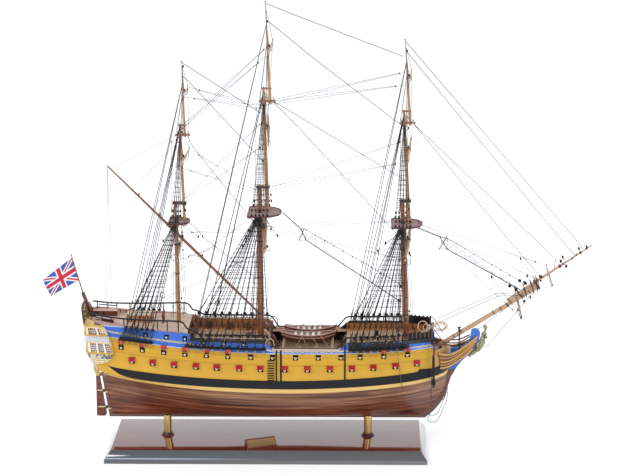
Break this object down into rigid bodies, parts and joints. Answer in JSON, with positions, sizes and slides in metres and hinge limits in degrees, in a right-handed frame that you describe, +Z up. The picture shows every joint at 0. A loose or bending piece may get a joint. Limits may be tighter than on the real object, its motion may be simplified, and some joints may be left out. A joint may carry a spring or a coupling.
{
  "type": "ship model",
  "caption": "Wooden display model of a three-masted sailing warship with bare yards, on a plinth with turned brass columns.",
  "frame": {"origin": "centre of the plinth's underside, where the model stands", "axes": "+X towards the bow, +Y to port, +Z up"},
  "size_m": [0.9451, 0.3298, 0.784],
  "materials": {
    "plinth_wood": "dark red-brown lacquered wood, polished",
    "aged_brass": "aged brass, satin",
    "polished_brass": "turned brass, polished",
    "walnut_planking": "walnut planks, satin varnish",
    "ochre_paint": "ochre and black painted wood, satin",
    "black_paint": "black painted wood, satin",
    "deck_wood": "pale deck planks, matte",
    "spar_wood": "light spar wood, satin varnish",
    "maroon_paint": "dark maroon painted wood",
    "gilt_wood": "carved wood painted gold",
    "mahogany": "red-brown varnished wood",
    "flag_cloth": "thin woven cloth",
    "tarred_rope": "dark twisted cord"
  },
  "bodies": {
    "ship": {"anchor_port": "black_paint", "anchor_starboard": "black_paint", "bowsprit": "spar_wood", "channel_fore_port": "black_paint", "channel_fore_starboard": "black_paint", "channel_main_port": "black_paint", "channel_main_starboard": "black_paint", "channel_mizzen_port": "black_paint", "channel_mizzen_starboard": "black_paint", "crossjack_yard": "spar_wood", "ensign": "flag_cloth", "ensign_staff": "spar_wood", "figurehead": "gilt_wood", "fore_lower_mast": "spar_wood", "fore_stay": "tarred_rope", "fore_top": "maroon_paint", "fore_topgallant_yard": "spar_wood", "fore_topsail_yard": "spar_wood", "fore_upper_mast": "spar_wood", "fore_yard": "spar_wood", "forecastle": "deck_wood", "gun_deck": "deck_wood", "head_rails_port": "gilt_wood", "head_rails_starboard": "gilt_wood", "hull_bottom": "walnut_planking", "jib_boom": "spar_wood", "keel_and_stem": "walnut_planking", "lateen_yard": "mahogany", "launch": "mahogany", "longboat": "mahogany", "main_lower_mast": "spar_wood", "main_stay": "tarred_rope", "main_top": "maroon_paint", "main_topgallant_yard": "spar_wood", "main_topsail_yard": "spar_wood", "main_upper_mast": "spar_wood", "main_yard": "spar_wood", "mizzen_lower_mast": "spar_wood", "mizzen_top": "maroon_paint", "mizzen_topgallant_yard": "spar_wood", "mizzen_topsail_yard": "spar_wood", "mizzen_upper_mast": "spar_wood", "nameplate": "aged_brass", "nameplate_block": "plinth_wood", "pedestal_aft": "polished_brass", "pedestal_fore": "polished_brass", "plinth": "plinth_wood", "poop_deck": "deck_wood", "quarterdeck": "deck_wood", "rail_port": "black_paint", "rail_starboard": "black_paint", "side_port": "ochre_paint", "side_starboard": "ochre_paint", "sprit_topsail_yard": "spar_wood", "spritsail_yard": "spar_wood", "stern_and_galleries": "ochre_paint", "waist_beams": "deck_wood"},
    "rudder": {"rudder": "walnut_planking"}
  },
  "joints": [
    {"name": "rudder_hinge", "type": "hinge", "parent": "ship", "child": "rudder", "pos_m": [-0.28549, 0, 0.1], "axis": [-0.1483, 0, 0.9889], "range_deg": [-30, 30]}
  ]
}
